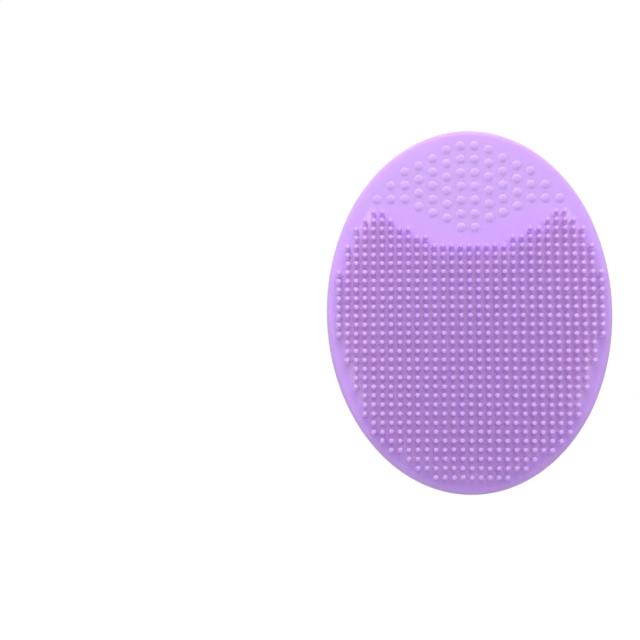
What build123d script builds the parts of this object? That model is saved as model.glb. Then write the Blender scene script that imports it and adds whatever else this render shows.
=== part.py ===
"""Silicone facial cleansing brush with a suction cup on its back.

The brush hangs upright by its cup. +Z is up along the pad's long axis, +X is across the pad,
-Y is the way the bristles point, and +Y is the way the cup opens. The origin is the centre of
the ring of the cup that lies on the wall. Lengths are in millimetres and angles in degrees.

The brush is one moulding in one silicone. Each region with a job of its own is a solid of its
own here, and neighbouring regions meet face to face.
"""

from build123d import *
import math
import os

# ---- oval pad ----
pad_width = 52.0  # across, along X
pad_height = 67.0  # the long axis, along Z
pad_thickness = 3.0  # at the middle of the pad
pad_standoff = 12.0  # from the wall to the back of the pad
pad_crown = 0.7  # how far the front face falls away towards the two sides
front_edge_round = 1.1

# ---- finger grips, the raised lips along both sides of the back ----
grip_width = 3.7  # from the straight crease where a lip begins to the side of the pad
grip_rise = 1.8  # from the back of the pad to the top of a lip
cut_overrun = 1.0  # how far a cutting shape runs past what it cuts

# ---- bristle field ----
field_margin = 2.1  # from the outermost bristles to the edge of the pad
bay_radius = 21.0  # the round bay at the top that has no bristles
bay_centre_z = 32.0
bristle_pitch = 2.0
bristle_length = 3.0  # above the pad
bristle_root_width = 1.0
bristle_tip_width = 0.66
backing_depth = 0.8  # the slice of the pad that carries the bristles
backing_border = 0.6  # how far that slice reaches past the outermost bristles

# ---- massage nubs in the bay ----
nub_pitch = 2.57
nub_sides = 8
nub_radius = 0.87
nub_shoulder_radius = 0.66
nub_tip_radius = 0.3
nub_height = 0.6
nub_shoulder_height = 0.34
nub_base_z = 14.6  # the lowest pair of nubs
nub_columns = 7  # on each side of the middle
nub_stepped_columns = 4  # the columns whose lowest nub climbs by half a pitch each

# ---- neck ----
neck_radius = 4.5
neck_flare = 2.0  # radius of the fillet where the neck runs into the pad
waist_radius = 4.2  # at the middle of the flexing stem
foot_height = 2.4  # from the back of the pad to the stem
stem_length = 2.6

# ---- suction cup ----
cup_radius = 12.0  # at the thin lip
bead_radius = 11.6  # at the widest part of the round bead
bead_round = 2.3
land_inner_radius = 8.3  # where the dish would meet the wall if its edge were sharp
dish_round = 2.0  # between the dish and the ring that lies on the wall
dish_depth = 2.3  # from the wall to the mouth of the pit
pit_depth = 4.2
pit_mouth_radius = 2.3
pit_floor_radius = 1.5
pit_mouth_round = 1.2
pit_floor_round = 0.4
groove_depth = 0.25  # between the bead and the lip
lip_thickness = 0.4
lip_round = 0.12
lip_front_y = 2.8  # from the wall to the lip
cup_back_radius = 6.2  # where the cup's back turns into the neck
cup_back_y = 5.4
cup_back_round = 2.0
rim_inner_radius = 8.0  # where the flexing dish meets the firm rim
hub_radius = 3.2  # the middle of the dish, which moves as one with the neck
hub_flange_radius = 6.8  # the hub behind the flexing dish
hub_step_y = 4.6  # where the flexing dish meets that flange
pip_radius = 1.0
pip_height = 0.5

# ---- values that follow from the sizes above ----
pad_back = -pad_standoff
pad_front = pad_back - pad_thickness
half_width = pad_width / 2
half_height = pad_height / 2
crease_x = half_width - grip_width
crown_radius = (half_width**2 + pad_crown**2) / (2 * pad_crown)
grip_arc_radius = (grip_width**2 + grip_rise**2) / (2 * grip_rise)
foot_top = pad_back + foot_height
stem_top = foot_top + stem_length


def crown_fall(x):
    """How far the front face lies behind its middle, at a distance x from the middle."""
    return crown_radius - math.sqrt(crown_radius**2 - x**2)


def prism(outline, y_from, y_to):
    """The solid that a flat outline in X and Z sweeps between two depths."""
    plane = Plane.XZ.offset(-y_from)
    return extrude(plane * outline, amount=y_from - y_to)


def turned(outline):
    """The solid that a half section makes about the cup's axis."""
    return revolve(outline, axis=Axis.Y)


def pad_section():
    """The pad's cross-section in X and Y, a little wider than the pad: crowned in front, with a
    lip at each side behind."""
    side = half_width + cut_overrun
    side_y = pad_front + crown_fall(side)
    lip_y = pad_back + grip_rise
    front = ThreePointArc((-side, side_y), (0, pad_front), (side, side_y))
    right_side = Polyline((side, side_y), (side, lip_y), (half_width, lip_y))
    right_lip = RadiusArc((half_width, lip_y), (crease_x, pad_back), -grip_arc_radius)
    back = Line((crease_x, pad_back), (-crease_x, pad_back))
    left_lip = RadiusArc((-crease_x, pad_back), (-half_width, lip_y), -grip_arc_radius)
    left_side = Polyline((-half_width, lip_y), (-side, lip_y), (-side, side_y))
    return make_face([front, right_side, right_lip, back, left_lip, left_side])


def pad_bar():
    """A straight bar with the pad's cross-section, longer than the pad."""
    return extrude(pad_section(), amount=half_height + cut_overrun, both=True)


def pad_solid():
    """The whole oval pad with its lips, before it is parted into regions."""
    oval = prism(
        Ellipse(half_width, half_height),
        pad_back + grip_rise + cut_overrun,
        pad_front - cut_overrun,
    )
    pad = pad_bar() & oval
    return fillet(front_rim(pad), front_edge_round)


def front_rim(pad):
    """The edges along the rim of the pad's front face."""
    front_face = pad.faces().sort_by(Axis.Y)[0]
    return front_face.edges()


def field_outline(border):
    """The bristles' outline: the pad's oval drawn in, less the round bay at the top."""
    inset = field_margin - border
    oval = Ellipse(half_width - inset, half_height - inset)
    bay = Pos(0, bay_centre_z) * Circle(bay_radius - border)
    return oval - bay


def in_field(x, z):
    """Whether a bristle stands at this place."""
    across = x / (half_width - field_margin)
    along = z / (half_height - field_margin)
    from_bay = math.hypot(x, z - bay_centre_z)
    return across**2 + along**2 <= 1 and from_bay >= bay_radius


def bristle_places():
    """The places of the bristles, on a square grid about the middle of the pad."""
    columns = int(half_width / bristle_pitch)
    rows = int(half_height / bristle_pitch) + 1
    places = []
    for column in range(-columns, columns + 1):
        for row in range(-rows, rows):
            x = column * bristle_pitch
            z = (row + 0.5) * bristle_pitch
            if in_field(x, z):
                places.append((x, z))
    return places


def bristle():
    """One four-sided bristle that narrows to its tip, with its root sunk into the backing."""
    sunk = backing_depth / 2
    root = Plane.XZ.offset(-sunk) * Rectangle(bristle_root_width, bristle_root_width)
    tip = Plane.XZ.offset(bristle_length) * Rectangle(bristle_tip_width, bristle_tip_width)
    return loft([root, tip])


def field_prism():
    """The space that the bristles' slice of the pad takes, open to the front."""
    slice_back = pad_front + crown_fall(half_width) + backing_depth
    return prism(field_outline(backing_border), slice_back, pad_front - cut_overrun)


def bristle_field(pad):
    """All the bristles, fused to the slice of the pad that carries them."""
    backing = pad & field_prism()
    strand = bristle()
    strands = [Pos(x, pad_front + crown_fall(x), z) * strand for x, z in bristle_places()]
    return backing + strands


def nub_places():
    """The places of the nubs: mirrored columns that shorten and climb away from the middle."""
    places = []
    for column in range(nub_columns):
        x = (column + 0.5) * nub_pitch
        climb = min(column, nub_stepped_columns) / 2
        for step in range(nub_columns - column):
            z = nub_base_z + (climb + step) * nub_pitch
            places += [(-x, z), (x, z)]
    return places


def nub():
    """One low dome of flat facets, standing on its base towards -Y."""
    base = Plane.XZ * RegularPolygon(nub_radius, nub_sides)
    shoulder = Plane.XZ.offset(nub_shoulder_height) * RegularPolygon(nub_shoulder_radius, nub_sides)
    tip = Plane.XZ.offset(nub_height) * RegularPolygon(nub_tip_radius, nub_sides)
    return loft([base, shoulder, tip], ruled=True)


def massage_nubs():
    """The nubs, each one square to the crowned front face where it stands."""
    dome = nub()
    nubs = []
    for x, z in nub_places():
        lean = math.degrees(math.asin(x / crown_radius))
        nubs.append(Pos(x, pad_front + crown_fall(x), z) * Rot(0, 0, lean) * dome)
    return nubs


def cup_section():
    """Half the cup's section, with the radius along X and the depth along Y."""
    lip_back_y = -lip_front_y - lip_thickness
    corners = [
        (0, -pit_depth),
        (pit_floor_radius, -pit_depth),
        (pit_mouth_radius, -dish_depth),
        (land_inner_radius, 0),
        (bead_radius, 0),
        (bead_radius - groove_depth, -lip_front_y + lip_round),
        (cup_radius, -lip_front_y),
        (cup_radius, lip_back_y),
        (cup_back_radius, -cup_back_y),
        (neck_radius, stem_top),
        (0, stem_top),
    ]
    rounds = [
        pit_floor_round,
        pit_mouth_round,
        dish_round,
        bead_round,
        lip_round,
        lip_round,
        lip_round,
        cup_back_round,
        lip_round,
    ]
    wall = FilletPolyline(*corners, radius=rounds)
    axis_line = Line((0, stem_top), (0, -pit_depth))
    return make_face([wall, axis_line])


def post(radius, y_from, y_to):
    """A round post about the cup's axis between two depths."""
    return prism(Circle(radius), y_from, y_to)


def cup_regions():
    """The cup, parted into its moving hub, its flexing dish and its firm rim."""
    cup = turned(cup_section())
    core = post(hub_radius, 0, stem_top) + post(hub_flange_radius, -hub_step_y, stem_top)
    inside = post(rim_inner_radius, 0, stem_top)
    hub = cup & core
    dish = (cup & inside) - core
    rim = cup - inside
    return hub, dish, rim


def cup_pip():
    """The small dome on the floor of the cup's pit."""
    ball_radius = (pip_radius**2 + pip_height**2) / (2 * pip_height)
    centre_y = -pit_depth + pip_height - ball_radius
    ball = Pos(0, centre_y, 0) * Sphere(ball_radius)
    return ball & post(pip_radius, 0, -pit_depth)


def neck_stem():
    """The short waisted length of the neck that bends."""
    middle_y = foot_top + stem_length / 2
    side = ThreePointArc((neck_radius, foot_top), (waist_radius, middle_y), (neck_radius, stem_top))
    rest = Polyline((neck_radius, stem_top), (0, stem_top), (0, foot_top), (neck_radius, foot_top))
    return turned(make_face([side, rest]))


def neck_foot():
    """The foot of the neck, which flares out into the back of the pad."""
    spread = neck_radius + neck_flare
    rest = Polyline(
        (spread, pad_back),
        (0, pad_back),
        (0, foot_top),
        (neck_radius, foot_top),
        (neck_radius, pad_back + neck_flare),
    )
    flare = RadiusArc((neck_radius, pad_back + neck_flare), (spread, pad_back), -neck_flare)
    return turned(make_face([rest, flare]))


def side_block(side):
    """The space outside one of the two creases, right for 1 and left for -1."""
    depth = pad_thickness + pad_standoff
    block = Box(half_width, 2 * depth, pad_height)
    return Pos(side * (crease_x + half_width / 2), pad_back, 0) * block


def pad_regions():
    """The pad, parted into its plate, its two grips and its bristle field."""
    pad = pad_solid()
    field = bristle_field(pad)
    bare = pad - field_prism()
    right = bare & side_block(1)
    left = bare & side_block(-1)
    plate = bare - side_block(1) - side_block(-1)
    return plate, left, right, field


def write(name, shape):
    """Writes one region to its own file."""
    solids = [s for part in (shape if isinstance(shape, list) else [shape]) for s in part.solids()]
    export_step(Compound(solids), f"parts/{name}.step")


def main():
    """Builds every region and writes it."""
    os.makedirs("parts", exist_ok=True)
    plate, left, right, field = pad_regions()
    hub, dish, rim = cup_regions()
    write("pad_plate", plate)
    write("finger_grip_left", left)
    write("finger_grip_right", right)
    write("bristle_field", field)
    write("massage_nubs", massage_nubs())
    write("neck_foot", neck_foot())
    write("neck_stem", neck_stem())
    write("cup_hub", hub)
    write("cup_pip", cup_pip())
    write("cup_dish", dish)
    write("cup_rim", rim)
    print("bristles", len(bristle_places()), "nubs", len(nub_places()))


main()
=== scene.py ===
"""Facial cleansing brush: its dressed surfaces, its silicone, its light and its camera.

The brush is one soft moulding in one lilac silicone. It hangs upright by the suction cup on its
back, with its bristles towards -Y. Every length is in metres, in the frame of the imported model.
The main sizes come from that model's own boxes, and the smaller ones are written here.
"""

import logging
import math
import random
from dataclasses import dataclass, field
from enum import Enum
from typing import Callable, Union

import bmesh
import bpy
from mathutils import Matrix, Vector


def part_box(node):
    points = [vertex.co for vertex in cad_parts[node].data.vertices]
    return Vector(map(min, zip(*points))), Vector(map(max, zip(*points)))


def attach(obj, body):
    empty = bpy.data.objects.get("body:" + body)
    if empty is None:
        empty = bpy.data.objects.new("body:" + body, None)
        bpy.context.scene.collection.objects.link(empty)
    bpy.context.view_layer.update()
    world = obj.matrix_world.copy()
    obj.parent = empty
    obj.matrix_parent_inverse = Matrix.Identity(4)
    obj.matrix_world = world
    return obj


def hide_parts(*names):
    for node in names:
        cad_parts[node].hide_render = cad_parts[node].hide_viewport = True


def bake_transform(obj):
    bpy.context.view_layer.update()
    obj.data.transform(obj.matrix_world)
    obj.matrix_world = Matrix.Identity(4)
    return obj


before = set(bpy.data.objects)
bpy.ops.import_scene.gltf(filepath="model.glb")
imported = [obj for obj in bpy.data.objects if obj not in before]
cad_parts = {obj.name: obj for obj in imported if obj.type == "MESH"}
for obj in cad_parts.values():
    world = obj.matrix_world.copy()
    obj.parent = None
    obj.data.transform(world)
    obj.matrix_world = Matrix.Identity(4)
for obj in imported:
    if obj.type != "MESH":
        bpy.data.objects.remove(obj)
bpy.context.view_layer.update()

log = logging.getLogger("cleansing_brush")

MM = 0.001
# How near two places count as one, how near a plane counts as on it, and a number's slip.
SAME_PLACE, ON_PLANE, ROUNDING = 1e-6, 1e-7, 1e-9
WHITE = (1, 1, 1, 1)
Colour = tuple[float, float, float]
Place = tuple[float, float, float]


def srgb(red: int, green: int, blue: int) -> Colour:
    """Turns a colour of 0 to 255 per channel into linear light.

    Args:
        red: The red channel.
        green: The green channel.
        blue: The blue channel.

    Returns:
        The linear colour.
    """
    channels = []
    # The numbers are those of the sRGB curve itself.
    for channel in (red, green, blue):
        level = channel / 255
        channels.append(level / 12.92 if level <= 0.04045 else ((level + 0.055) / 1.055) ** 2.4)
    return tuple(channels)


# -------- shader building


class Signal:
    """A value that changes over a surface: one socket, with Python's operators."""

    def __init__(self, bench: "Bench", socket: bpy.types.NodeSocket) -> None:
        """Wraps a socket.

        Args:
            bench: The bench whose nodes the operators add to.
            socket: The output socket that holds the value.
        """
        self.bench = bench
        self.socket = socket

    def _math(self, operation: str, first: "Term", second: "Term" = 0.0) -> "Signal":
        """Adds one Math node.

        Args:
            operation: The Math node's operation.
            first: The first value.
            second: The second value.

        Returns:
            The node's result.
        """
        return self.bench.add("ShaderNodeMath", {"operation": operation}, {0: first, 1: second})

    def __add__(self, other: "Term") -> "Signal":
        """Adds."""
        return self._math("ADD", self, other)

    def __radd__(self, other: "Term") -> "Signal":
        """Adds, with this value second."""
        return self._math("ADD", other, self)

    def __sub__(self, other: "Term") -> "Signal":
        """Subtracts."""
        return self._math("SUBTRACT", self, other)

    def __rsub__(self, other: "Term") -> "Signal":
        """Subtracts this value from another."""
        return self._math("SUBTRACT", other, self)

    def __mul__(self, other: "Term") -> "Signal":
        """Multiplies."""
        return self._math("MULTIPLY", self, other)

    def __truediv__(self, other: "Term") -> "Signal":
        """Divides."""
        return self._math("DIVIDE", self, other)

    def __pow__(self, other: "Term") -> "Signal":
        """Raises to a power."""
        return self._math("POWER", self, other)

    def clamped(self) -> "Signal":
        """Holds the value between 0 and 1."""
        return self.bench.add("ShaderNodeClamp", {}, {"Value": self})


Term = Union[Signal, float]


class Bench:
    """The node tree of one material or of the world, and the ways to add to it."""

    def __init__(self, tree: bpy.types.NodeTree) -> None:
        """Starts on an empty tree.

        Args:
            tree: The node tree, which is cleared.
        """
        self.tree = tree
        tree.nodes.clear()

    def add(
        self,
        kind: str,
        settings: dict[str, object],
        sockets: dict[Union[str, int], object],
        output: Union[str, int] = 0,
    ) -> Signal:
        """Adds a node of any kind.

        Args:
            kind: The node's type.
            settings: Its settings, which are set first.
            sockets: The values or signals of its inputs, by name or place.
            output: The output to hand back, by name or place.

        Returns:
            That output.
        """
        node = self.tree.nodes.new(kind)
        for name, value in settings.items():
            setattr(node, name, value)
        for name, value in sockets.items():
            if isinstance(value, Signal):
                self.tree.links.new(value.socket, node.inputs[name])
            else:
                node.inputs[name].default_value = value
        return Signal(self, node.outputs[output])

    def close(self, kind: str, surface: Signal) -> None:
        """Ends the tree with its output node.

        Args:
            kind: The output node's type.
            surface: The shader that it shows.
        """
        self.tree.links.new(surface.socket, self.tree.nodes.new(kind).inputs["Surface"])

    def mix(self, amount: Term, first: object, second: object) -> Signal:
        """Mixes two colours.

        Args:
            amount: How much of the second colour shows.
            first: The first colour.
            second: The second colour.

        Returns:
            The mixed colour.
        """
        settings = {"data_type": "RGBA", "clamp_factor": True}
        # A Mix node's colour inputs are its seventh and eighth, and its colour output the third.
        return self.add("ShaderNodeMix", settings, {0: amount, 6: first, 7: second}, output=2)

    def place(self) -> Signal:
        """The place on the object, in its own frame, in metres."""
        return self.add("ShaderNodeTexCoord", {}, {}, output="Object")

    def coordinate(self, axis: str) -> Signal:
        """One coordinate of that place.

        Args:
            axis: The coordinate's axis, X, Y or Z.

        Returns:
            The coordinate, in metres.
        """
        return self.add("ShaderNodeSeparateXYZ", {}, {"Vector": self.place()}, output=axis)

    def ray(self, kind: str) -> Signal:
        """Whether a ray is of one kind.

        Args:
            kind: The kind, such as Camera or Glossy.

        Returns:
            1 for a ray of that kind.
        """
        return self.add("ShaderNodeLightPath", {}, {}, output=f"Is {kind} Ray")

    def noise(self, size: float, detail: float, roughness: float = 0.5) -> Signal:
        """Soft noise between 0 and 1.

        Args:
            size: How far apart its blotches are, in metres.
            detail: How many finer layers it has.
            roughness: How strong those layers are.

        Returns:
            The noise's level.
        """
        layers = {"Scale": 1 / size, "Detail": detail, "Roughness": roughness}
        sockets = {"Vector": self.place(), **layers}
        return self.add("ShaderNodeTexNoise", {"noise_dimensions": "3D"}, sockets)


# -------- the layout of the front


@dataclass(frozen=True)
class BristleField:
    """Where the bristles stand: rows of a grid that leave a round bay at the top.

    Attributes:
        across: The spacing of the columns.
        down: The spacing of the rows.
        top: The height of the first row.
        reach: The outermost column of each row, counted from the middle.
        bay: The innermost column of the rows beside the bay.
        half_width: Half the width of the oval that the field fills.
        half_height: Half the height of that oval.
        middle: The height of the oval's middle.
        bay_radius: The radius of the bay.
        bay_middle: The height of the bay's middle.
        oval_fade: How fast the cover ends at the oval's edge.
        bay_fade: The length over which it ends at the bay's edge.
    """

    across: float = 1.575 * MM
    down: float = 1.60 * MM
    top: float = 17.535 * MM
    reach: tuple[int, ...] = (
        *(11, 12, 13, 13, 14, 14, 14),
        *(15, 15, 15, 15, 15, 15, 15, 15),
        *(14, 14, 14, 13, 13, 13, 12, 12, 12, 11, 11, 10, 9, 7, 6, 4),
    )
    bay: tuple[int, ...] = (10, 9, 7, 5)
    half_width: float = 23.9 * MM
    half_height: float = 30.9 * MM
    middle: float = -0.8 * MM
    bay_radius: float = 21.9 * MM
    bay_middle: float = 32.4 * MM
    oval_fade: float = 9.0
    bay_fade: float = 1.4 * MM

    def places(self) -> list[tuple[float, float]]:
        """Lists the places of the bristles.

        Returns:
            Each bristle's place across and up.
        """
        places = []
        for row, reach in enumerate(self.reach):
            inner = self.bay[row] if row < len(self.bay) else 0
            for column in range(-reach, reach + 1):
                if abs(column) >= inner:
                    places.append((column * self.across, self.top - row * self.down))
        return places

    def cover(self, bench: Bench) -> Signal:
        """How far a place is in among the bristles, from 0 to 1, which places the painted light on
        the face between them.

        Args:
            bench: The material's bench.

        Returns:
            1 well inside the field, falling softly to 0 at its edge.
        """
        across, up = bench.coordinate("X"), bench.coordinate("Z")
        oval = (across / self.half_width) ** 2 + ((up - self.middle) / self.half_height) ** 2
        from_bay = (across**2 + (up - self.bay_middle) ** 2) ** 0.5
        inside = ((1.0 - oval) * self.oval_fade).clamped()
        return inside * ((from_bay - self.bay_radius) / self.bay_fade).clamped()


# -------- finishes


class Region(Enum):
    """The parts of the moulding that wear the silicone in their own way."""

    PAD = "pad"
    BRISTLE = "bristle"
    NUB = "nub"
    NECK = "neck"
    CUP = "cup"


@dataclass(frozen=True)
class Silicone:
    """Matt lilac silicone as one region of the moulding wears it.

    Attributes:
        region: The region that wears it.
        body: The colour of its surface.
        thick: The deeper colour that its clouds mix in.
        painted_light: The lighter colour of painted light, standing in for light that comes
            through the silicone from the sides.
        corner: The painted shade in the creases beside the grips and in the cup's pit.
        gloss: The roughness of its clean surface.
        bloom: How much the powdery bloom on the surface varies its roughness.
        grain: The height of the mould's fine grain, in metres.
        glow: How much light passes through it.
        tone: How much of the deeper colour shows on the whole.
        clouding: How much the large soft clouds change that.
        speckle: How much the small specks change it.
    """

    region: Region
    body: Colour
    thick: Colour
    painted_light: Colour
    # Painted shade for the creases beside the grips and for the cup's pit.
    corner: Colour = srgb(158, 112, 206)
    gloss: float = 0.5
    bloom: float = 0.10
    grain: float = 0.000006
    glow: float = 0.45
    tone: float = 0.42
    clouding: float = 0.34
    speckle: float = 0.10

    def material(self) -> bpy.types.Material:
        """Builds the material.

        Returns:
            The finished material.
        """
        material = bpy.data.materials.new(f"silicone_{self.region.value}")
        material.use_nodes = True
        bench = Bench(material.node_tree)
        clouds = bench.noise(size=11 * MM, detail=2.0) - 0.5
        specks = bench.noise(size=0.9 * MM, detail=3.0, roughness=0.6) - 0.5
        tone = (self.tone + clouds * self.clouding + specks * self.speckle).clamped()
        colour = bench.mix(tone, (*self.body, 1), (*self.thick, 1))
        # Painted light lifts the shade among the bristles, on their roots and on the nubs' feet.
        colour = bench.mix(self._painted_light_share(bench), colour, (*self.painted_light, 1))
        if self.region is Region.PAD:
            # Painted shade along the creases beside the grips.
            colour = bench.mix(self._painted_crease_shade(bench), colour, (*self.corner, 1))
        if self.region is Region.CUP:
            # Painted shade in the cup's pit.
            colour = bench.mix(self._painted_pit_shade(bench), colour, (*self.corner, 1))
        surface = bench.add(
            "ShaderNodeBsdfPrincipled",
            {"subsurface_method": "RANDOM_WALK"},
            {
                "Base Color": colour,
                "Roughness": self.gloss + clouds * self.bloom + specks * self.bloom,
                "Normal": self._normal(bench),
                "IOR": 1.42,
                "Specular IOR Level": 0.22,
                "Subsurface Weight": self.glow,
                "Subsurface Radius": (1.0, 0.75, 1.0),
                "Subsurface Scale": 1.6 * MM,
                "Sheen Weight": 0.03,
                "Sheen Roughness": 0.4,
            },
            output="BSDF",
        )
        bench.close("ShaderNodeOutputMaterial", surface)
        return material

    def _painted_light_share(self, bench: Bench) -> Term:
        """How much painted light shows, from 0 to 1: a lighter colour that lifts the shade on the
        bristles, on the nubs' feet and on the face between the bristles.

        Args:
            bench: The material's bench.

        Returns:
            None on plain regions, most on the roots of the bristles and the face between them.
        """
        if self.region in (Region.NECK, Region.CUP):
            return 0.0
        depth = bench.coordinate("Y")
        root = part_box("pad_plate")[0].y
        if self.region is Region.BRISTLE:
            at_root, less_at_tip = 0.95, 0.9
            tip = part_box("bristle_field")[0].y
            rise = ((root - depth) / (root - tip)).clamped()
            return at_root - rise * less_at_tip
        if self.region is Region.NUB:
            # The bow is how fast the face falls away, per metre; the painted light is most at a
            # nub's foot, and the top share of a nub has none.
            bow, at_foot, foot_share = 1.05, 0.36, 0.6
            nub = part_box("massage_nubs")[0].y
            up = root + bench.coordinate("X") ** 2 * bow - depth
            return at_foot - (up / ((root - nub) * foot_share)).clamped() * at_foot
        end, fade, most = 1.2 * MM, 0.3 * MM, 0.85
        front = ((root + end - depth) / fade).clamped()
        return BristleField().cover(bench) * front * most

    def _painted_crease_shade(self, bench: Bench) -> Signal:
        """How much painted shade darkens the crease beside a grip, from 0 to 1.

        Args:
            bench: The material's bench.

        Returns:
            Most along the crease itself, falling softly to both sides and to its ends.
        """
        offset, reach, half_length = 0.1 * MM, 0.55 * MM, 17.2 * MM
        before_back, fade, most = 0.6 * MM, 0.3 * MM, 0.8
        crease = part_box("pad_plate")[1].x
        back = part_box("pad_plate")[1].y
        beside = ((bench.coordinate("X") ** 2) ** 0.5 - (crease + offset)) / reach
        near = (1.0 - beside**2).clamped()
        ends = (1.0 - (bench.coordinate("Z") / half_length) ** 4).clamped()
        behind = ((bench.coordinate("Y") - (back - before_back)) / fade).clamped()
        return near * near * ends * behind * most

    def _painted_pit_shade(self, bench: Bench) -> Signal:
        """How much painted shade darkens the pit of the cup, from 0 to 1.

        Args:
            bench: The material's bench.

        Returns:
            Most on the pit's floor and on the pip, falling softly to the pit's mouth.
        """
        radius, start, fade, most = 4.0 * MM, -1.4 * MM, 2.4 * MM, 0.42
        across, up = bench.coordinate("X"), bench.coordinate("Z")
        inside = (1.0 - (across**2 + up**2) / radius**2).clamped()
        return inside * ((start - bench.coordinate("Y")) / fade).clamped() * most

    def _normal(self, bench: Bench) -> Signal:
        """The grain that the mould leaves.

        Args:
            bench: The material's bench.

        Returns:
            The bumped normal.
        """
        softness, strength = 1.6, 0.6
        fine = bench.noise(size=0.16 * MM, detail=2.0, roughness=0.55)
        height = fine + bench.noise(size=2.6 * MM, detail=1.0) * softness
        sockets = {"Strength": strength, "Distance": self.grain, "Height": height}
        return bench.add("ShaderNodeBump", {}, sockets)


class Wardrobe:
    """Every region's silicone, built once."""

    def __init__(self) -> None:
        """Builds the five materials."""
        body = srgb(215, 177, 245)
        thick = srgb(200, 158, 243)
        # Painted light: lighter colours that lift the shade on the face between the bristles, on
        # the bristles' roots and on the nubs' feet.
        painted_light = srgb(237, 202, 255)
        tip = srgb(208, 169, 250)
        # Painted light on the bristles' roots and on the nubs' feet.
        root = srgb(250, 218, 255)
        finishes = [
            Silicone(Region.PAD, body, thick, painted_light, glow=0.5),
            Silicone(Region.BRISTLE, tip, thick, root, grain=0.000001, glow=0.05),
            Silicone(Region.NUB, tip, thick, root, gloss=0.6, glow=0.2),
            Silicone(Region.NECK, body, thick, painted_light),
            Silicone(Region.CUP, body, thick, painted_light, gloss=0.46, bloom=0.08, glow=0.15),
        ]
        self.materials = {finish.region: finish.material() for finish in finishes}

    def dress(self, piece: bpy.types.Object, region: Region) -> None:
        """Puts a region's silicone on a piece.

        Args:
            piece: The piece.
            region: The region it belongs to.
        """
        piece.data.materials.clear()
        piece.data.materials.append(self.materials[region])


# -------- shapes


@dataclass(frozen=True)
class Corner:
    """A corner of a turned outline.

    Attributes:
        radius: Its distance from the axis, in metres.
        depth: Its place along Y, in metres.
        ease: How far along each side its rounding starts, or 0 for a plain point.
    """

    radius: float
    depth: float
    ease: float = 0.0


def from_axis(place: Vector) -> Vector:
    """The direction straight away from the cup's axis.

    Args:
        place: Where it is read.

    Returns:
        The direction.
    """
    return Vector((place.x, 0, place.z))


class Shape:
    """A mesh that is being made, and the object it ends up as."""

    def __init__(self, name: str) -> None:
        """Starts an empty shape.

        Args:
            name: The finished piece's name.
        """
        self.name = name
        self.mesh = bmesh.new()

    def turn(self, corners: list[Corner], steps: int, round_steps: int = 1) -> None:
        """Turns an outline about the cup's axis.

        Args:
            corners: The outline's corners, from the axis or edge where it starts.
            steps: How many steps the full turn has.
            round_steps: How many steps a rounding has.
        """
        mesh = self.mesh
        points = [mesh.verts.new((corner.radius, corner.depth, 0)) for corner in corners]
        for start, end in zip(points, points[1:]):
            mesh.edges.new((start, end))
        for corner, point in zip(corners, points):
            if corner.ease:
                self._bevel([point], "VERTICES", corner.ease, round_steps)
        bmesh.ops.spin(
            mesh,
            geom=mesh.verts[:] + mesh.edges[:],
            cent=(0, 0, 0),
            axis=(0, 1, 0),
            dvec=(0, 0, 0),
            angle=math.tau,
            steps=steps,
            use_merge=True,
        )
        bmesh.ops.remove_doubles(mesh, verts=mesh.verts[:], dist=SAME_PLACE)

    def _bevel(self, parts: list, affect: str, ease: float, steps: int) -> None:
        """Rounds some vertices or edges.

        Args:
            parts: The vertices or edges.
            affect: Which of the two they are, VERTICES or EDGES.
            ease: How far along each side the rounding starts, in metres.
            steps: How many steps it has.
        """
        bmesh.ops.bevel(
            self.mesh,
            geom=parts,
            offset=ease,
            offset_type="OFFSET",
            segments=steps,
            profile=0.5,
            affect=affect,
            clamp_overlap=affect == "EDGES",
            material=-1,
        )

    def cut_across(self, axis: int, places: list[float]) -> None:
        """Adds straight lines of vertices across the shape.

        Args:
            axis: The axis the lines are square to, 0 for X or 2 for Z.
            places: Where along that axis they run.
        """
        normal = Vector((0, 0, 0))
        normal[axis] = 1
        for place in places:
            geometry = self.mesh.verts[:] + self.mesh.edges[:] + self.mesh.faces[:]
            bmesh.ops.bisect_plane(
                self.mesh, geom=geometry, dist=ON_PLANE, plane_co=normal * place, plane_no=normal
            )

    def round_edges(
        self, chosen: Callable[[bmesh.types.BMEdge], bool], ease: float, steps: int
    ) -> None:
        """Rounds the chosen edges.

        Args:
            chosen: Tells which edges are rounded.
            ease: How far along each side the rounding starts, in metres.
            steps: How many steps it has.
        """
        self._bevel([edge for edge in self.mesh.edges if chosen(edge)], "EDGES", ease, steps)

    def repeat(self, pattern: bpy.types.Mesh, stand: Matrix) -> None:
        """Adds a copy of a pattern.

        Args:
            pattern: The pattern.
            stand: Where the copy stands.
        """
        before = len(self.mesh.verts)
        self.mesh.from_mesh(pattern)
        self.mesh.verts.ensure_lookup_table()
        bmesh.ops.transform(self.mesh, matrix=stand, verts=self.mesh.verts[before:])

    def outwards(self) -> None:
        """Makes the faces agree with each other, and those of a closed shape point outwards."""
        bmesh.ops.recalc_face_normals(self.mesh, faces=self.mesh.faces[:])

    def face_like(self, outward: Callable[[Vector], Vector]) -> None:
        """Makes an open shell's faces point the way that a rule gives.

        Args:
            outward: Gives the outward direction at a place.
        """
        self.outwards()
        agree = 0.0
        for face in self.mesh.faces:
            agree += face.normal.dot(outward(face.calc_center_median())) * face.calc_area()
        if agree < 0:
            bmesh.ops.reverse_faces(self.mesh, faces=self.mesh.faces[:])

    def data(self) -> bpy.types.Mesh:
        """Turns the shape into mesh data, and lets go of the mesh that was being made.

        Returns:
            The mesh data.
        """
        data = bpy.data.meshes.new(self.name)
        self.mesh.to_mesh(data)
        self.mesh.free()
        return data

    def finish(self) -> bpy.types.Object:
        """Turns the shape into a smooth-shaded object at the origin.

        Returns:
            The object.
        """
        data = self.data()
        data.shade_smooth()
        piece = bpy.data.objects.new(self.name, data)
        bpy.context.scene.collection.objects.link(piece)
        log.info("%s: %d faces", self.name, len(data.polygons))
        return piece


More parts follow.
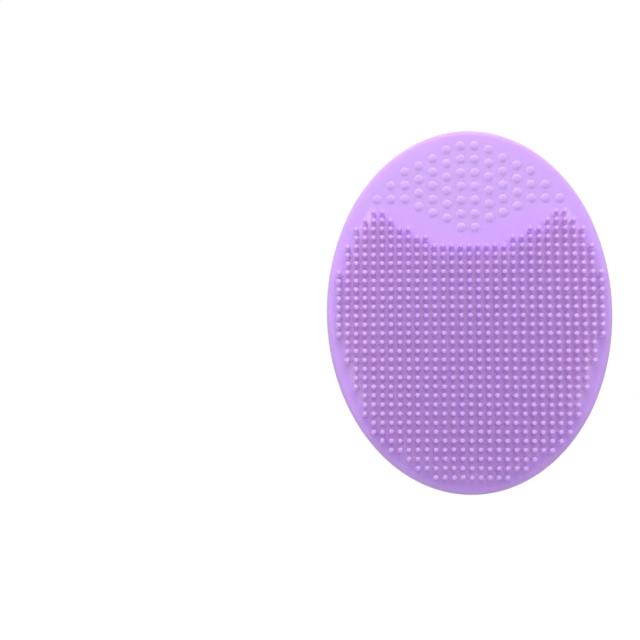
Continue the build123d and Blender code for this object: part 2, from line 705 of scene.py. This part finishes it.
def steps_between(low: float, high: float, step: float) -> list[float]:
    """Evenly spaced places strictly between two ends.

    Args:
        low: The low end.
        high: The high end.
        step: The widest spacing.

    Returns:
        The places.
    """
    count = max(1, math.ceil((high - low) / step - ROUNDING))
    return [low + (high - low) * number / count for number in range(1, count)]


# -------- the pad


@dataclass
class Pad:
    """The oval pad: its skin with the two grips, its bristles and its nubs.

    Attributes:
        body: The body it moves with.
        front: The depth of the middle of its front face.
        back: The depth of its flat back.
        half_width: Half its width across.
        half_height: Half its length.
        crease: How far from the middle each grip's crease is.
        grip_top: The depth of the top of a grip.
        crown: How far the front falls away at its sides.
        front_round, back_round: The roundings of the rims of its front and back.
        crease_softness: How far to both sides each crease is filled in.
        outline_steps: How many steps the oval has.
        upright_lines, grip_lines, level_lines: The spacing of the skin's lines, upright between
            the grips, upright over them, and level.
        layout: Where the bristles stand.
        bristle_root, bristle_radius: A bristle's radius at its root and below its tip.
        bristle_lean: How much the bristles lean at random, in radians.
        bristle_lengths: The shortest and the longest, as shares of the solid field's.
        bristle_seed: What the random leans and lengths start from.
        nub_pitch, nub_radius, nub_height: The nubs' spacing and size.
        nub_base: The height of the lowest nubs in the middle.
        nub_climb: How many pitches above them each column starts.
    """

    body: str = "pad"
    front: float = field(default_factory=lambda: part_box("pad_plate")[0].y)
    back: float = field(default_factory=lambda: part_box("pad_plate")[1].y)
    half_width: float = field(default_factory=lambda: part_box("finger_grip_right")[1].x)
    half_height: float = field(default_factory=lambda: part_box("pad_plate")[1].z)
    crease: float = field(default_factory=lambda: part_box("pad_plate")[1].x)
    grip_top: float = field(default_factory=lambda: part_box("finger_grip_right")[1].y)
    crown: float = 0.7 * MM
    front_round: float = 1.1 * MM
    back_round: float = 0.3 * MM
    crease_softness: float = 0.30 * MM
    outline_steps: int = 224
    upright_lines: float = 1.5 * MM
    grip_lines: float = 0.18 * MM
    level_lines: float = 1.6 * MM

    layout: BristleField = BristleField()
    bristle_root: float = 0.475 * MM
    bristle_radius: float = 0.455 * MM
    bristle_lean: float = 0.010
    bristle_lengths: tuple[float, float] = (0.97, 0.995)
    bristle_seed: int = 7

    nub_pitch: float = 2.57 * MM
    nub_radius: float = 0.84 * MM
    nub_height: float = 0.33 * MM
    nub_base: float = 15.0 * MM
    nub_climb: tuple[float, ...] = (0, 0.70, 1.08, 1.54, 2.12, 2.12, 2.12)

    def _crown_radius(self) -> float:
        """The radius of the arc that the front face follows from side to side."""
        return (self.half_width**2 + self.crown**2) / (2 * self.crown)

    def fall(self, across: float) -> float:
        """How far the front face lies behind its middle.

        Args:
            across: The distance from the middle.

        Returns:
            The depth of the fall.
        """
        radius = self._crown_radius()
        return radius - math.sqrt(radius**2 - across**2)

    def lean(self, across: float) -> float:
        """How far the front face turns away from -Y, in radians.

        Args:
            across: The distance from the middle.

        Returns:
            The angle.
        """
        return math.asin(across / self._crown_radius())

    def _on_front(self, across: float, up: float) -> Matrix:
        """Where something stands on the front face.

        Args:
            across: Its distance from the middle.
            up: Its height.

        Returns:
            The move that takes it there.
        """
        return Matrix.Translation((across, self.front + self.fall(across), up))

    def _lip(self, across: float) -> float:
        """The height of a grip's lip with a sharp crease.

        Args:
            across: The distance from the middle.

        Returns:
            The height above the flat back.
        """
        width = self.half_width - self.crease
        height = self.grip_top - self.back
        from_edge = self.half_width - abs(across)
        if from_edge >= width:
            return 0.0
        radius = (width**2 + height**2) / (2 * height)
        return height - (radius - math.sqrt(radius**2 - max(from_edge, 0) ** 2))

    def lip(self, across: float) -> float:
        """The height of a grip's lip, with its crease a little filled in.

        Args:
            across: The distance from the middle.

        Returns:
            The height above the flat back.
        """
        # The sharp lip is averaged over these shares of the softness to both sides.
        taps = [-1.0, -0.67, -0.33, 0.0, 0.33, 0.67, 1.0]
        edge = self.half_width - abs(across)
        reach = min(self.crease_softness, max(edge, 0.0))
        return sum(self._lip(abs(across) + tap * reach) for tap in taps) / len(taps)

    def skin(self) -> bpy.types.Object:
        """Builds the pad's skin, with its crowned front and the two grips behind.

        Returns:
            The finished piece.
        """
        shape = Shape("pad_skin")
        thickness = self.back - self.front
        centre = Matrix.Translation((0, (self.front + self.back) / 2, 0))
        upright = Matrix.Rotation(math.radians(90), 4, "X")
        stretch = Matrix.Diagonal((self.half_width, self.half_height, 1, 1))
        bmesh.ops.create_cone(
            shape.mesh,
            cap_ends=True,
            segments=self.outline_steps,
            radius1=1,
            radius2=1,
            depth=thickness,
            matrix=centre @ upright @ stretch,
        )
        shape.round_edges(lambda edge: self._on_rim(edge, self.front), self.front_round, steps=7)
        shape.round_edges(lambda edge: self._on_rim(edge, self.back), self.back_round, steps=3)
        shape.cut_across(0, self._cuts_across())
        shape.cut_across(2, steps_between(-self.half_height, self.half_height, self.level_lines))
        for point in shape.mesh.verts:
            share = (point.co.y - self.front) / thickness
            fall = (1 - share) * self.fall(point.co.x)
            point.co.y += fall + share * self.lip(point.co.x)
        shape.outwards()
        piece = shape.finish()
        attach(piece, self.body)
        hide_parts("pad_plate", "finger_grip_left", "finger_grip_right")
        return piece

    @staticmethod
    def _on_rim(edge: bmesh.types.BMEdge, depth: float) -> bool:
        """Whether an edge lies in the rim at a depth.

        Args:
            edge: The edge.
            depth: The rim's depth.

        Returns:
            True for an edge of the rim.
        """
        return all(abs(point.co.y - depth) < SAME_PLACE for point in edge.verts)

    def _cuts_across(self) -> list[float]:
        """Where the skin's upright lines run: closer together over the grips."""
        inner = self.crease - 2 * self.crease_softness
        plain = steps_between(-inner, inner, self.upright_lines)
        fine = [inner] + steps_between(inner, self.half_width, self.grip_lines)
        return plain + fine + [-place for place in fine]

    def _bristle_pattern(self, length: float) -> bpy.types.Mesh:
        """One bristle on the origin, pointing to -Y, with a flared root and a flat, eased tip.

        Args:
            length: Its length.

        Returns:
            The pattern that the field repeats.
        """
        shape = Shape("bristle_pattern")
        tip, root = self.bristle_radius, self.bristle_root
        # Shares of those radii and of the length, from the tip to just behind the face.
        tip_width, tip_ease, middle = 0.97, 0.34, 0.5
        swell_width, swell_depth, root_depth = 1.04, 0.13, 0.03
        skirt_width, skirt_depth = 1.2, 0.02
        corners = [
            Corner(0, -length),
            Corner(tip * tip_width, -length, tip * tip_ease),
            Corner(tip, -length * middle),
            Corner(tip * swell_width, -length * swell_depth),
            Corner(root, -length * root_depth),
            Corner(root * skirt_width, length * skirt_depth),
        ]
        shape.turn(corners, steps=8, round_steps=2)
        shape.face_like(from_axis)
        return shape.data()

    def bristles(self) -> bpy.types.Object:
        """Builds the whole field of bristles.

        Returns:
            The finished piece.
        """
        length = self.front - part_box("bristle_field")[0].y
        pattern = self._bristle_pattern(length)
        chance = random.Random(self.bristle_seed)
        shape = Shape("bristles")
        for across, up in self.layout.places():
            nod = Matrix.Rotation(chance.gauss(0, self.bristle_lean), 4, "X")
            sway = Matrix.Rotation(chance.gauss(0, self.bristle_lean), 4, "Z")
            short = Matrix.Diagonal((1, chance.uniform(*self.bristle_lengths), 1, 1))
            shape.repeat(pattern, self._on_front(across, up) @ (nod @ sway) @ short)
        bpy.data.meshes.remove(pattern)
        piece = shape.finish()
        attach(piece, self.body)
        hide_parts("bristle_field")
        return piece

    def nub_places(self) -> list[tuple[float, float]]:
        """The places of the nubs: mirrored columns that shorten and climb from the middle.

        Returns:
            Each nub's place across and up.
        """
        places = []
        for column, climb in enumerate(self.nub_climb):
            across = (column + 0.5) * self.nub_pitch
            for step in range(len(self.nub_climb) - column):
                up = self.nub_base + (climb + step) * self.nub_pitch
                places += [(-across, up), (across, up)]
        return places

    def _nub_pattern(self) -> bpy.types.Mesh:
        """One low dome on the origin, pointing to -Y, with a soft foot.

        Returns:
            The pattern that the bay repeats.
        """
        shape = Shape("nub_pattern")
        # Shares of the radius, and how far behind the face the foot and the skirt lie.
        top_width, top_ease, foot_width, foot_ease, skirt_width = 0.66, 0.44, 1.04, 0.24, 1.35
        foot_depth, skirt_depth = 0.01 * MM, 0.02 * MM
        corners = [
            Corner(0, -self.nub_height),
            Corner(self.nub_radius * top_width, -self.nub_height, self.nub_radius * top_ease),
            Corner(self.nub_radius * foot_width, foot_depth, self.nub_radius * foot_ease),
            Corner(self.nub_radius * skirt_width, skirt_depth),
        ]
        shape.turn(corners, steps=16, round_steps=4)
        shape.face_like(lambda place: Vector((place.x, -self.nub_radius, place.z)))
        return shape.data()

    def nubs(self) -> bpy.types.Object:
        """Builds all the massage nubs.

        Returns:
            The finished piece.
        """
        pattern = self._nub_pattern()
        shape = Shape("nubs")
        for across, up in self.nub_places():
            turn = Matrix.Rotation(self.lean(across), 4, "Z")
            shape.repeat(pattern, self._on_front(across, up) @ turn)
        bpy.data.meshes.remove(pattern)
        piece = shape.finish()
        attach(piece, self.body)
        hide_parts("massage_nubs")
        return piece

    def build(self, wardrobe: Wardrobe) -> None:
        """Builds and dresses the pad.

        Args:
            wardrobe: The silicone finishes.
        """
        wardrobe.dress(self.skin(), Region.PAD)
        wardrobe.dress(self.bristles(), Region.BRISTLE)
        wardrobe.dress(self.nubs(), Region.NUB)


# -------- the neck and the cup


@dataclass
class Neck:
    """The short neck between the pad and the cup, in two skins that meet at its waist.

    Attributes:
        radius: Its radius at both ends of the waist.
        waist: Its radius at the middle of the waist.
        flare: How far along each side the rounding into the pad starts.
        top: The depth where it leaves the cup.
        bottom: The depth where the waist ends.
        foot: The depth of the pad's back.
        tuck: How far its foot runs into the pad.
        spacing: The spacing of the rings of its waist.
        steps: How many steps a full turn has.
    """

    radius: float = 4.5 * MM
    waist: float = 4.2 * MM
    flare: float = 1.5 * MM
    top: float = field(default_factory=lambda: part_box("neck_stem")[1].y)
    bottom: float = field(default_factory=lambda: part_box("neck_stem")[0].y)
    foot: float = field(default_factory=lambda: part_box("neck_foot")[0].y)
    tuck: float = 0.01 * MM
    spacing: float = 0.3 * MM
    steps: int = 72

    def _outline(self, high: float, low: float) -> list[Corner]:
        """The waist's outline from one depth to another.

        Args:
            high: The depth where it starts, towards the cup.
            low: The depth where it ends, towards the pad.

        Returns:
            The outline's corners.
        """
        middle = (self.top + self.bottom) / 2
        half = (self.top - self.bottom) / 2
        corners = []
        for depth in [high, *steps_between(low, high, self.spacing)[::-1], low]:
            share = (depth - middle) / half
            corners.append(Corner(self.waist + (self.radius - self.waist) * share**2, depth))
        return corners

    def build(self, wardrobe: Wardrobe) -> None:
        """Builds and dresses the neck.

        Args:
            wardrobe: The silicone finishes.
        """
        middle = (self.top + self.bottom) / 2
        upper = Shape("neck_upper_skin")
        upper.turn(self._outline(self.top, middle), self.steps)
        upper.face_like(from_axis)
        lower = Shape("neck_lower_skin")
        # The foot leaves the waist at its slope, and flares into the pad.
        slope = 2 * (self.radius - self.waist) / (self.top - middle)
        spread = self.radius + slope * (self.bottom - self.foot)
        inside = self.foot - self.tuck
        foot = [Corner(spread, inside, self.flare), Corner(spread + self.flare, inside)]
        lower.turn(self._outline(middle, self.bottom) + foot, self.steps, round_steps=12)
        lower.face_like(from_axis)
        pieces = [upper.finish(), lower.finish()]
        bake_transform(pieces[0])
        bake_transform(pieces[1])
        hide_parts("neck_stem")
        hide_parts("neck_foot")
        for piece in pieces:
            wardrobe.dress(piece, Region.NECK)


@dataclass
class Cup:
    """The suction cup: its round bead and lip, its dish and pit, its back, and the pip.

    Attributes:
        radius: Its radius over the slim lip.
        neck_top: The depth where the neck leaves it.
        bead, bead_ease, bead_middle: The bead's radius, its rounding and its middle's depth.
        land: The radius where the bead and the dish meet on the wall.
        land_inner, dish_ease: The radius of the dish at the wall, and its rounding there.
        dish_depth, pit_depth: How deep the dish and the pit are.
        pit_mouth, pit_floor, mouth_ease, floor_ease: The pit's radii and their roundings.
        lip_front, lip_thickness, lip_ease: How far back the lip is, and its edges.
        groove, groove_width, groove_ease: The groove between the bead and the lip.
        back_radius, back_depth, back_ease: Where the straight back turns towards the neck.
        neck_radius, neck_flare, neck_rise, neck_ease: The neck, and the slope that leads to it.
        back_join: The radius where the skins of the rim and of the back meet.
        pip_depth, pip_width, pip_ease: The pip's shares of the solid's size, and its rounding.
        steps: How many steps a full turn has.
    """

    radius: float = field(default_factory=lambda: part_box("cup_rim")[1].x)
    neck_top: float = field(default_factory=lambda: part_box("cup_hub")[0].y)
    bead: float = 11.6 * MM
    bead_ease: float = 2.28 * MM
    bead_middle: float = -2.5 * MM
    land: float = 9.30 * MM
    land_inner: float = 8.5 * MM
    dish_ease: float = 0.78 * MM
    dish_depth: float = 2.3 * MM
    pit_depth: float = 4.2 * MM
    pit_mouth: float = 2.3 * MM
    pit_floor: float = 1.5 * MM
    mouth_ease: float = 1.2 * MM
    floor_ease: float = 0.5 * MM
    lip_front: float = 2.8 * MM
    lip_thickness: float = 0.4 * MM
    lip_ease: float = 0.12 * MM
    groove: float = 0.25 * MM
    groove_width: float = 0.12 * MM
    groove_ease: float = 0.1 * MM
    back_radius: float = 6.2 * MM
    back_depth: float = 5.4 * MM
    back_ease: float = 1.0 * MM
    neck_radius: float = 4.5 * MM
    neck_flare: float = 0.28 * MM
    neck_rise: float = 0.6 * MM
    neck_ease: float = 0.6 * MM
    back_join: float = 9.0 * MM
    pip_depth: float = 1.2
    pip_width: float = 0.66
    pip_ease: float = 0.28 * MM
    steps: int = 128

    def _back_depth_at(self, radius: float) -> float:
        """The depth of the cup's straight back at a radius.

        Args:
            radius: The radius.

        Returns:
            The depth.
        """
        lip_back = -self.lip_front - self.lip_thickness
        share = (radius - self.back_radius) / (self.radius - self.back_radius)
        return -self.back_depth + share * (lip_back + self.back_depth)

    def rim(self) -> bpy.types.Object:
        """Builds the bead, the groove and the lip.

        Returns:
            The finished piece.
        """
        shape = Shape("cup_rim_skin")
        lip_back = -self.lip_front - self.lip_thickness
        corners = [
            Corner(self.land, 0),
            Corner(self.bead, 0, self.bead_ease),
            Corner(self.bead - self.groove, -self.lip_front + self.groove_width, self.groove_ease),
            Corner(self.radius, -self.lip_front, self.lip_ease),
            Corner(self.radius, lip_back, self.lip_ease),
            Corner(self.back_join, self._back_depth_at(self.back_join)),
        ]
        shape.turn(corners, self.steps, round_steps=12)
        shape.face_like(lambda place: Vector((place.x, place.y - self.bead_middle, place.z)))
        piece = shape.finish()
        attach(piece, "rim")
        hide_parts("cup_rim")
        return piece

    def dish(self) -> bpy.types.Object:
        """Builds the dish and its pit.

        Returns:
            The finished piece.
        """
        shape = Shape("cup_dish_skin")
        corners = [
            Corner(0, -self.pit_depth),
            Corner(self.pit_floor, -self.pit_depth, self.floor_ease),
            Corner(self.pit_mouth, -self.dish_depth, self.mouth_ease),
            Corner(self.land_inner, 0, self.dish_ease),
            Corner(self.land, 0),
        ]
        shape.turn(corners, self.steps, round_steps=10)
        shape.face_like(lambda place: Vector((0, 1, 0)))
        piece = shape.finish()
        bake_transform(piece)
        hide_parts("cup_dish")
        return piece

    def back(self) -> bpy.types.Object:
        """Builds the cup's back, from the rim to the neck.

        Returns:
            The finished piece.
        """
        shape = Shape("cup_back_skin")
        join = self._back_depth_at(self.back_join)
        neck_foot = self.neck_radius + self.neck_flare
        corners = [
            Corner(self.back_join, join),
            Corner(self.back_radius, -self.back_depth, self.back_ease),
            Corner(neck_foot, self.neck_top + self.neck_rise, self.neck_ease),
            Corner(self.neck_radius, self.neck_top),
        ]
        shape.turn(corners, self.steps, round_steps=10)
        backwards = -6 * MM
        shape.face_like(lambda place: Vector((place.x, backwards, place.z)))
        piece = shape.finish()
        join - 0.02 * MM
        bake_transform(piece)
        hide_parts("cup_hub")
        return piece

    def pip(self) -> bpy.types.Object:
        """Builds the small block on the floor of the pit.

        Returns:
            The finished piece.
        """
        shape = Shape("cup_pip_skin")
        low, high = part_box("cup_pip")
        size = high - low
        bmesh.ops.create_cube(shape.mesh, size=1)
        stretch = (size.x, size.y * self.pip_depth, size.z * self.pip_width)
        middle = high.y - size.y * (self.pip_depth / 2)
        bmesh.ops.scale(shape.mesh, verts=shape.mesh.verts[:], vec=stretch)
        bmesh.ops.translate(shape.mesh, verts=shape.mesh.verts[:], vec=(0, middle, 0))
        shape.round_edges(lambda edge: True, self.pip_ease, steps=5)
        shape.outwards()
        piece = shape.finish()
        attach(piece, "hub")
        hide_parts("cup_pip")
        return piece

    def build(self, wardrobe: Wardrobe) -> None:
        """Builds and dresses the cup.

        Args:
            wardrobe: The silicone finishes.
        """
        for piece in (self.rim(), self.dish(), self.back(), self.pip()):
            wardrobe.dress(piece, Region.CUP)


# -------- the studio


@dataclass
class Studio:
    """The pale room, its soft lamps and its camera.

    Attributes:
        floor_level: The height of the floor.
        distance: From the camera to the middle of the pad.
        elevation: How far above the pad the camera stands, in degrees.
        turn: How far to its left the camera stands, in degrees.
        roll: How far the camera is rolled about its own axis, in degrees.
        focal: The focal length in widths of the picture.
        aim: Where the pad's middle falls, in picture widths right of and below the top left.
        room_light, room_shown: The strength of the room's light, and as the camera sees it.
        floor_grey: The grey of the floor itself.
        floor_shown, floor_share: The glow that the camera sees in its stead, and how much of it.
    """

    floor_level: float = -0.20
    distance: float = 0.220
    elevation: float = -8.5
    turn: float = 3.8
    roll: float = -0.75
    focal: float = 1.8796875
    aim: tuple[float, float] = (0.7334375, 0.48484375)
    room_light: float = 0.88
    room_shown: float = 1.0
    floor_grey: float = 0.6
    floor_shown: float = 1.1
    floor_share: float = 0.95

    def camera(self, middle: Vector) -> None:
        """Sets up the camera.

        Args:
            middle: The middle of the pad.
        """
        data = bpy.data.cameras.new("camera")
        data.sensor_width = 36.0
        data.lens = data.sensor_width * self.focal
        data.clip_start = 0.01
        data.clip_end = 50
        camera = bpy.data.objects.new("camera", data)
        bpy.context.scene.collection.objects.link(camera)
        elevation, turn = math.radians(self.elevation), math.radians(self.turn)
        level = math.cos(elevation)
        away = Vector((-math.sin(turn) * level, -math.cos(turn) * level, math.sin(elevation)))
        place = middle + away * self.distance
        across = (self.aim[0] - 0.5) / self.focal
        up = (0.5 - self.aim[1]) / self.focal
        pan = math.atan(across)
        tilt = math.atan(up * math.cos(pan))
        facing = (-away).to_track_quat("-Z", "Y").to_matrix()
        facing = facing @ Matrix.Rotation(pan, 3, "Y") @ Matrix.Rotation(-tilt, 3, "X")
        facing = facing @ Matrix.Rotation(math.radians(self.roll), 3, "Z")
        camera.matrix_world = Matrix.Translation(place) @ facing.to_4x4()
        bpy.context.scene.camera = camera

    def lamp(self, name: str, place: Place, target: Vector, size: float, power: float) -> None:
        """Hangs a soft square lamp.

        Args:
            name: The lamp's name.
            place: Where it hangs.
            target: What it points at.
            size: The length of its sides.
            power: Its power in watts.
        """
        data = bpy.data.lights.new(name, "AREA")
        data.shape = "SQUARE"
        data.size = size
        data.energy = power
        lamp = bpy.data.objects.new(name, data)
        lamp.visible_camera = False
        bpy.context.scene.collection.objects.link(lamp)
        facing = (target - Vector(place)).to_track_quat("-Z", "Y").to_matrix().to_4x4()
        lamp.matrix_world = Matrix.Translation(place) @ facing

    def world(self) -> None:
        """Gives the room its even white light."""
        world = bpy.data.worlds.new("room")
        bpy.context.scene.world = world
        world.use_nodes = True
        bench = Bench(world.node_tree)
        seen = (bench.ray("Camera") + bench.ray("Glossy") + bench.ray("Transmission")).clamped()
        lit = {"Color": WHITE, "Strength": self.room_light}
        shown = {"Color": WHITE, "Strength": self.room_shown}
        light = bench.add("ShaderNodeBackground", {}, lit, output="Background")
        show = bench.add("ShaderNodeBackground", {}, shown, output="Background")
        mixed = bench.add("ShaderNodeMixShader", {}, {0: seen, 1: light, 2: show})
        bench.close("ShaderNodeOutputWorld", mixed)

    def floor(self) -> None:
        """Lays the plain pale floor."""
        shape = Shape("floor")
        bmesh.ops.create_grid(shape.mesh, x_segments=1, y_segments=1, size=12)
        bmesh.ops.translate(shape.mesh, verts=shape.mesh.verts[:], vec=(0, 0, self.floor_level))
        piece = shape.finish()
        material = bpy.data.materials.new("floor")
        material.use_nodes = True
        bench = Bench(material.node_tree)
        seen = bench.ray("Camera") * self.floor_share
        grey = {"Color": (self.floor_grey, self.floor_grey, self.floor_grey, 1)}
        shown = {"Color": WHITE, "Strength": self.floor_shown}
        matt = bench.add("ShaderNodeBsdfDiffuse", {}, grey, output="BSDF")
        show = bench.add("ShaderNodeEmission", {}, shown, output="Emission")
        mixed = bench.add("ShaderNodeMixShader", {}, {0: seen, 1: matt, 2: show})
        bench.close("ShaderNodeOutputMaterial", mixed)
        piece.data.materials.append(material)

    def build(self, middle: Vector) -> None:
        """Builds the room around the brush.

        Args:
            middle: The middle of the pad.
        """
        self.world()
        self.floor()
        self.lamp("key_lamp", (-0.028, -0.175, 0.165), middle, size=0.18, power=0.285)
        self.lamp("back_key_lamp", (0.02, 0.18, 0.115), middle, size=0.24, power=0.15)
        self.camera(middle)
        bpy.context.scene.view_settings.view_transform = "Standard"


# -------- the brush


def main() -> None:
    """Builds the brush and its room."""
    logging.basicConfig(level=logging.INFO, format="%(name)s %(message)s")
    wardrobe = Wardrobe()
    pad = Pad()
    pad.build(wardrobe)
    Neck().build(wardrobe)
    Cup().build(wardrobe)
    Studio().build(Vector((0, pad.front, 0)))
    log.info("%d bristles, %d nubs", len(pad.layout.places()), len(pad.nub_places()))


if __name__ == "__main__":
    main()
